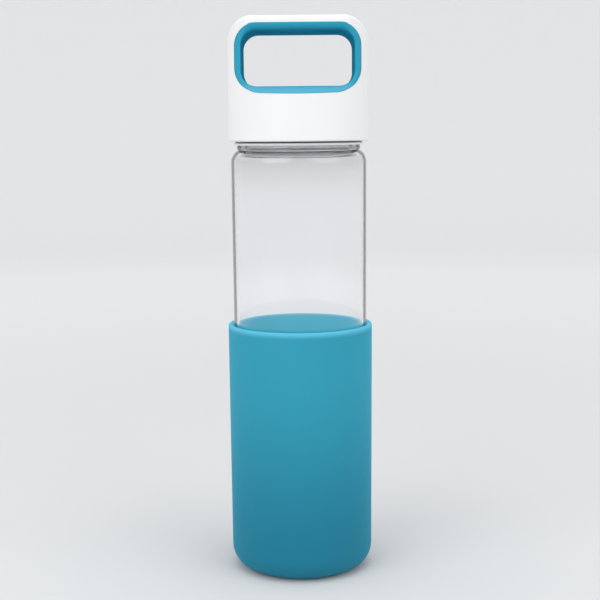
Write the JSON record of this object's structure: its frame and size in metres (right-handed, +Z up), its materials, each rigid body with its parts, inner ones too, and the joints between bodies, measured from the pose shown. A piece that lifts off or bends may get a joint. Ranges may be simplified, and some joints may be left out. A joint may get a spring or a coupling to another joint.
{
  "type": "glass water bottle",
  "caption": "Clear round glass water bottle in a close-fitting silicone sleeve, closed by a screw lid whose top is a rounded carrying handle with a coloured grip ring.",
  "frame": {"origin": "centre of the underside of the bottle, on the surface that it stands on", "axes": "+Z up along the bottle's axis; the handle opening runs front to back along Y, and X runs across the handle"},
  "size_m": [0.0668, 0.0668, 0.2544],
  "materials": {
    "clear_glass": "clear smooth glass",
    "teal_silicone": "matte teal blue silicone",
    "white_plastic": "satin white moulded plastic",
    "teal_grip": "satin teal blue soft plastic",
    "liner_plastic": "satin white moulded plastic",
    "seal_silicone": "matte whitish silicone"
  },
  "bodies": {
    "sleeve": {"silicone_sleeve": "teal_silicone"},
    "bottle": {"glass_bottle": "clear_glass"},
    "seal": {"seal_gasket": "seal_silicone"},
    "lid": {"lid_shell": "white_plastic", "handle_grip": "teal_grip", "lid_liner": "liner_plastic"}
  },
  "joints": [
    {"name": "bottle_pull", "type": "slide", "parent": "sleeve", "child": "bottle", "axis": [0, 0, 1], "range_m": [0, 0.12]},
    {"name": "lid_rise", "type": "slide", "parent": "bottle", "child": "seal", "axis": [0, 0, 1], "range_m": [0, 0.0181]},
    {"name": "lid_turn", "type": "hinge", "parent": "seal", "child": "lid", "pos_m": [0, 0, 0.2], "axis": [0, 0, 1], "range_deg": [0, 1080]}
  ],
  "couplings": [
    {"joint": "lid_rise", "follows": "lid_turn", "m_per_rad": 0.00095493}
  ]
}
